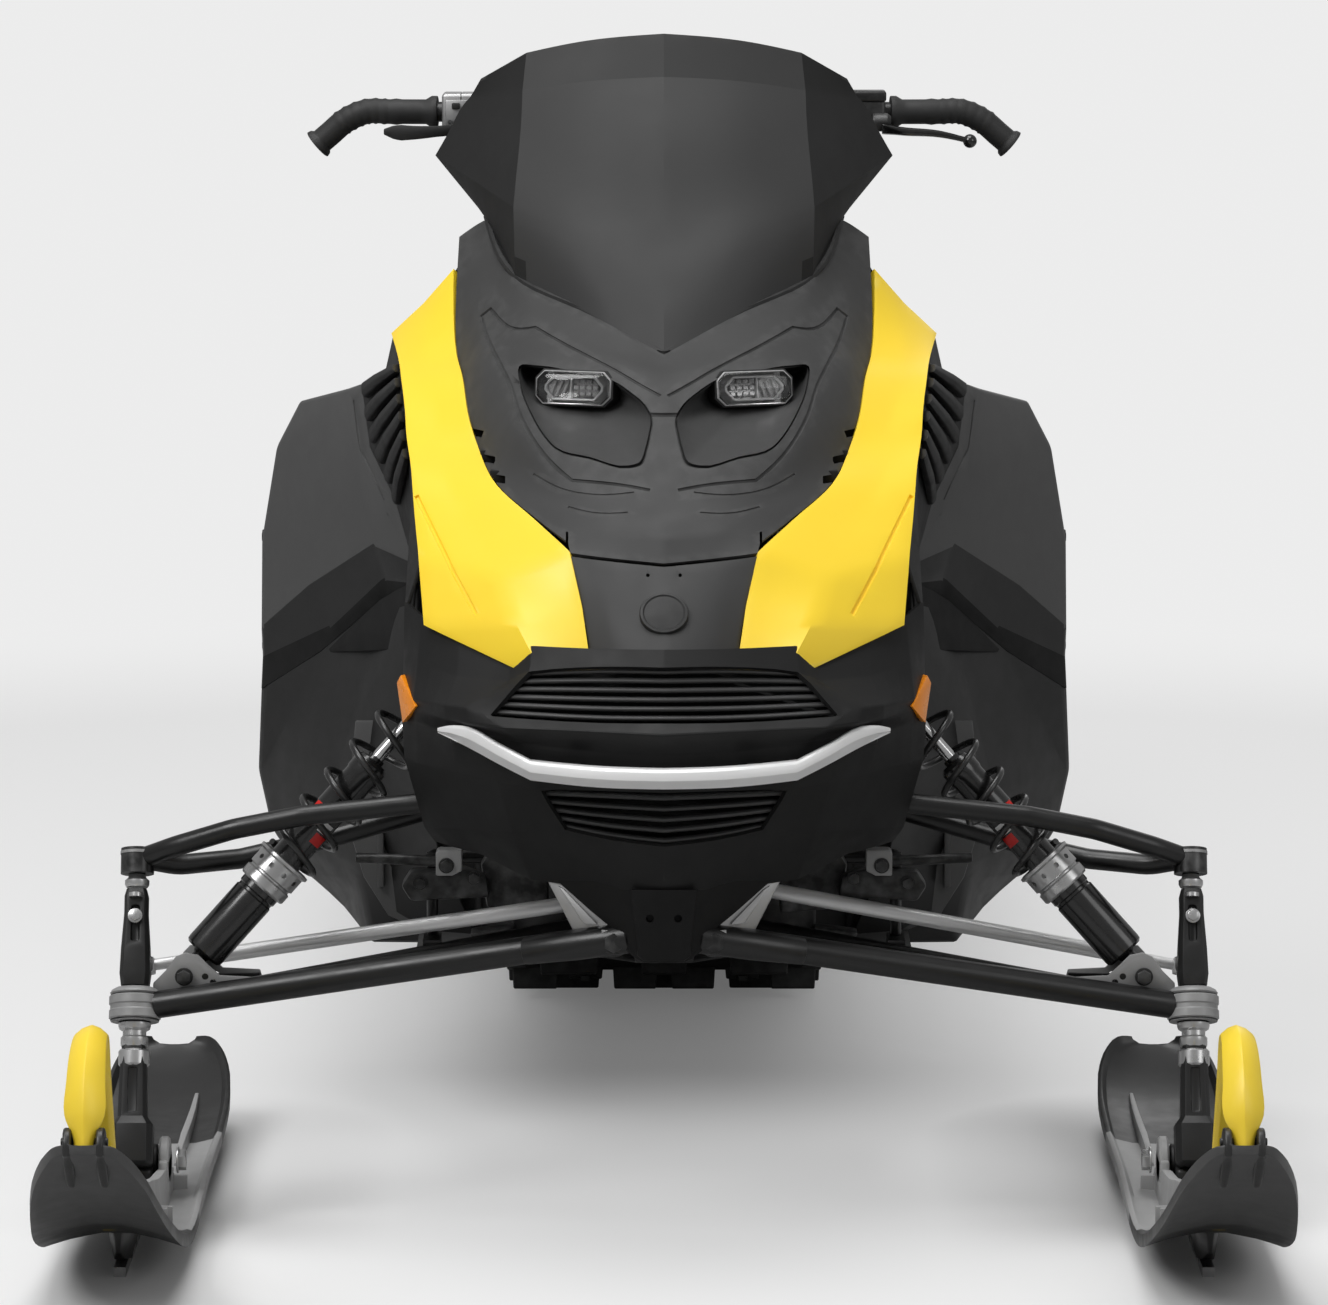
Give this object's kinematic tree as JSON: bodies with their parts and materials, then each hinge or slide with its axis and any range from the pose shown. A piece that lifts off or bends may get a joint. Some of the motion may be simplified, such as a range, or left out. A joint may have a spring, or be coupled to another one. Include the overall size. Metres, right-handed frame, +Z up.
{
  "type": "snowmobile",
  "caption": "Trail snowmobile with two steerable skis, double-wishbone front suspension, handlebar, short windshield, seat, tunnel and a rubber drive track with lugs on a slide-rail skid",
  "frame": {"origin": "On the floor, under the middle of the machine's length and width.", "axes": "+Z up, the nose faces -Y, +X is the rider's left; +Y runs back along the length."},
  "size_m": [1.217, 3.01, 1.201],
  "materials": {
    "black_panel": "dark satin moulded plastic",
    "yellow_panel": "glossy yellow moulded plastic",
    "smoked_screen": "dark smoked polycarbonate, almost opaque",
    "black_trim": "matt black moulded plastic",
    "lamp_lens": "clear lens over a lamp",
    "coated_steel": "zinc plated or bare steel",
    "black_steel": "black powder coat on steel",
    "bare_aluminium": "plain aluminium",
    "track_rubber": "moulded rubber with woven cords",
    "flap_rubber": "black flexible flap",
    "grip_rubber": "soft grip rubber",
    "seat_cover": "black vinyl seat cover",
    "ski_plastic": "dark grey ski plastic",
    "yellow_plastic": "yellow flexible plastic strap"
  },
  "bodies": {
    "chassis": {"hood": "black_panel", "nose_panel": "black_panel", "shoulder_panels": "yellow_panel", "front_fascia": "black_panel", "windshield": "smoked_screen", "dash_console": "black_panel", "side_panels": "yellow_panel", "lower_side_panels": "black_panel", "side_vents": "black_trim", "belly_pan": "black_panel", "headlamps": "lamp_lens", "grilles": "black_trim", "front_bumper": "coated_steel", "side_reflectors": "lamp_lens", "gauge": "black_trim", "front_frame": "bare_aluminium", "engine_block": "bare_aluminium", "lower_control_arms": "black_steel", "upper_control_arms": "black_steel", "shock_absorbers": "bare_aluminium", "shock_springs": "black_steel", "sway_bar": "coated_steel", "track": "track_rubber", "slide_rails": "bare_aluminium", "skid_shafts": "coated_steel", "idler_wheels": "black_trim", "skid_arms": "black_steel", "skid_shocks": "bare_aluminium", "drive_axle": "coated_steel", "tunnel": "bare_aluminium", "running_boards": "bare_aluminium", "fuel_tank_cover": "black_panel", "fuel_cap": "black_trim", "seat": "seat_cover", "tail_housing": "black_panel", "tail_lamp": "lamp_lens", "rear_bumper": "black_steel", "snow_flap": "flap_rubber"},
    "handlebar_assembly": {"steering_column": "coated_steel", "handlebar": "black_steel", "grips": "grip_rubber", "throttle_control": "black_trim", "brake_control": "black_trim"},
    "pitman": {"pitman_arm": "coated_steel"},
    "spindle_body_left": {"spindle_left": "black_steel"},
    "tie_rod_body_left": {"tie_rod_left": "coated_steel"},
    "ski_body_left": {"ski_left": "ski_plastic", "ski_runner_left": "coated_steel", "ski_loop_left": "yellow_plastic"},
    "spindle_body_right": {"spindle_right": "black_steel"},
    "tie_rod_body_right": {"tie_rod_right": "coated_steel"},
    "ski_body_right": {"ski_right": "ski_plastic", "ski_runner_right": "coated_steel", "ski_loop_right": "yellow_plastic"}
  },
  "joints": [
    {"name": "steering", "type": "hinge", "parent": "chassis", "child": "handlebar_assembly", "pos_m": [0, -0.8664, 0.462], "axis": [0, 0.662, 0.7495], "range_deg": [-30, 30]},
    {"name": "pitman_turn", "type": "hinge", "parent": "chassis", "child": "pitman", "pos_m": [0, -0.89957, 0.37078], "axis": [0, 0.342, 0.9397], "range_deg": [-30, 30]},
    {"name": "kingpin_left", "type": "hinge", "parent": "chassis", "child": "spindle_body_left", "pos_m": [0.537, -0.945, 0.232], "axis": [0, 0.342, 0.9397], "range_deg": [-30, 30]},
    {"name": "tie_rod_end_left", "type": "hinge", "parent": "spindle_body_left", "child": "tie_rod_body_left", "pos_m": [0.537, -0.84093, 0.25478], "axis": [0, 0.342, 0.9397], "range_deg": [-30, 30]},
    {"name": "ski_pitch_left", "type": "hinge", "parent": "spindle_body_left", "child": "ski_body_left", "pos_m": [0.5385, -0.965, 0.079], "axis": [-1, 0, 0], "range_deg": [-6, 20]},
    {"name": "kingpin_right", "type": "hinge", "parent": "chassis", "child": "spindle_body_right", "pos_m": [-0.537, -0.945, 0.232], "axis": [0, 0.342, 0.9397], "range_deg": [-30, 30]},
    {"name": "tie_rod_end_right", "type": "hinge", "parent": "spindle_body_right", "child": "tie_rod_body_right", "pos_m": [-0.537, -0.84093, 0.25478], "axis": [0, 0.342, 0.9397], "range_deg": [-30, 30]},
    {"name": "ski_pitch_right", "type": "hinge", "parent": "spindle_body_right", "child": "ski_body_right", "pos_m": [-0.5385, -0.965, 0.079], "axis": [-1, 0, 0], "range_deg": [-6, 20]}
  ],
  "couplings": [
    {"joint": "pitman_turn", "follows": "steering", "ratio": 1},
    {"joint": "kingpin_left", "follows": "steering", "ratio": 1},
    {"joint": "tie_rod_end_left", "follows": "steering", "ratio": -1},
    {"joint": "kingpin_right", "follows": "steering", "ratio": 1},
    {"joint": "tie_rod_end_right", "follows": "steering", "ratio": -1}
  ]
}
